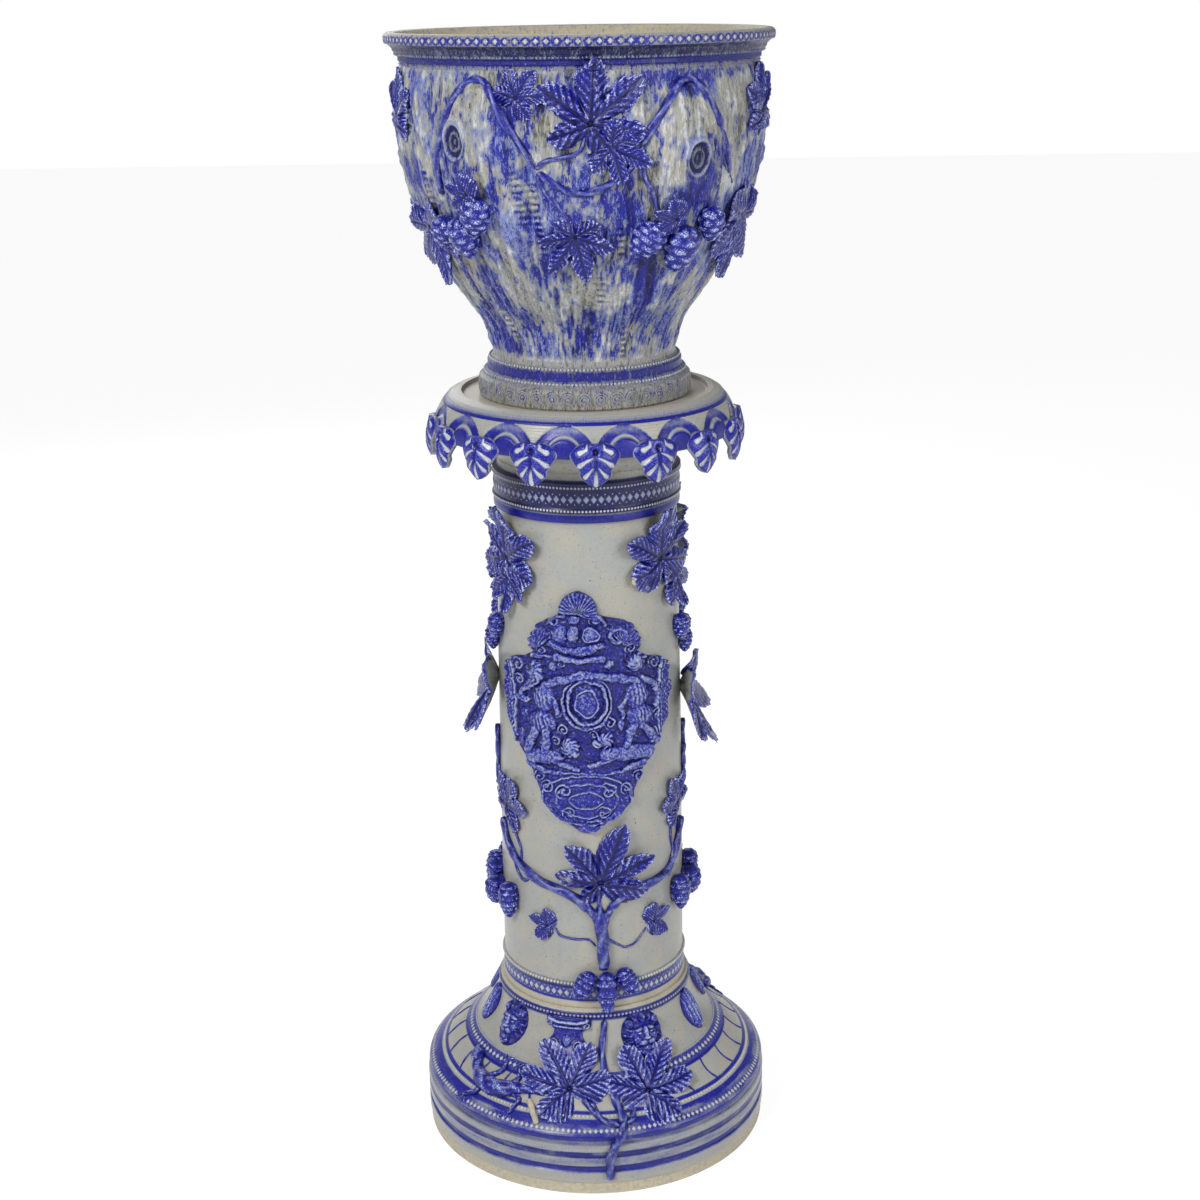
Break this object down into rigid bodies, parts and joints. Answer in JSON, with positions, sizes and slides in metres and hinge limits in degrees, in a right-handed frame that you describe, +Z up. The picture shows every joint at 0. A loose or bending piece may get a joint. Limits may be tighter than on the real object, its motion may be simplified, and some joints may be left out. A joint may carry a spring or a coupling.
{
  "type": "jardiniere on stand",
  "caption": "Salt-glazed stoneware pot standing on a round column with a spreading plinth, dressed with vine leaves, hop cones and a raised shield panel.",
  "frame": {"origin": "centre of the plinth's foot, on the floor", "axes": "+Z up, along the axis of the column; the front of the object faces -Y, +X is to its right as seen from the front"},
  "size_m": [0.3819, 0.3906, 1.179],
  "materials": {
    "grey_stoneware": "salt-glazed, satin",
    "cobalt_skirt": "salt-glazed cobalt, glossy",
    "vine_stems": "salt-glazed, cobalt wash",
    "bark_relief": "salt-glazed, mottled cobalt",
    "shield_relief": "salt-glazed cobalt wash over relief",
    "hop_cones": "salt-glazed cobalt",
    "cobalt_ornament": "salt-glazed cobalt wash",
    "cobalt_leaves": "salt-glazed cobalt, pale veins"
  },
  "bodies": {
    "column": {"capital_floor": "grey_stoneware", "capital_plate": "grey_stoneware", "column": "grey_stoneware", "column_centre_leaf": "cobalt_leaves", "column_front_hops": "hop_cones", "column_left_curled_leaf": "cobalt_leaves", "column_left_hops": "hop_cones", "column_left_leaflet": "cobalt_leaves", "column_left_side_vine": "vine_stems", "column_left_vine": "vine_stems", "column_lower_left_leaf": "cobalt_leaves", "column_lower_right_leaf": "cobalt_leaves", "column_right_curled_leaf": "cobalt_leaves", "column_right_hops": "hop_cones", "column_right_leaflet": "cobalt_leaves", "column_right_side_vine": "vine_stems", "column_right_vine": "vine_stems", "column_side_left_leaf": "cobalt_leaves", "column_side_right_leaf": "cobalt_leaves", "column_trunk": "vine_stems", "column_upper_hops": "hop_cones", "column_upper_left_leaf": "cobalt_leaves", "column_upper_right_leaf": "cobalt_leaves", "leaf_skirt": "cobalt_skirt", "shield_boss": "shield_relief", "shield_panel": "shield_relief"},
    "jardiniere": {"jardiniere": "grey_stoneware", "pot_centre_leaf": "cobalt_leaves", "pot_folded_leaf": "cobalt_leaves", "pot_front_vine": "vine_stems", "pot_left_hops": "hop_cones", "pot_left_stump": "bark_relief", "pot_left_vine": "vine_stems", "pot_lower_centre_leaf": "cobalt_leaves", "pot_lower_left_leaf": "cobalt_leaves", "pot_lower_right_leaf": "cobalt_leaves", "pot_right_hops": "hop_cones", "pot_right_stump": "bark_relief", "pot_right_vine": "vine_stems", "pot_small_leaf": "cobalt_leaves", "pot_stalks": "vine_stems", "pot_upper_left_leaf": "cobalt_leaves", "pot_upper_right_leaf": "cobalt_leaves"},
    "plinth": {"plinth": "grey_stoneware", "plinth_left_branch": "vine_stems", "plinth_left_leaf": "cobalt_leaves", "plinth_left_mask": "cobalt_ornament", "plinth_left_shell_ornament": "cobalt_ornament", "plinth_lion_mask": "cobalt_ornament", "plinth_lizard": "cobalt_ornament", "plinth_right_branch": "vine_stems", "plinth_right_leaf": "cobalt_leaves", "plinth_right_shell_ornament": "cobalt_ornament", "plinth_strap_ornament": "cobalt_ornament", "plinth_trunk": "vine_stems"}
  },
  "joints": [
    {"name": "column_lift", "type": "slide", "parent": "plinth", "child": "column", "axis": [0, 0, 1], "range_m": [0, 0.15]},
    {"name": "jardiniere_lift", "type": "slide", "parent": "column", "child": "jardiniere", "axis": [0, 0, 1], "range_m": [0, 0.15]}
  ]
}
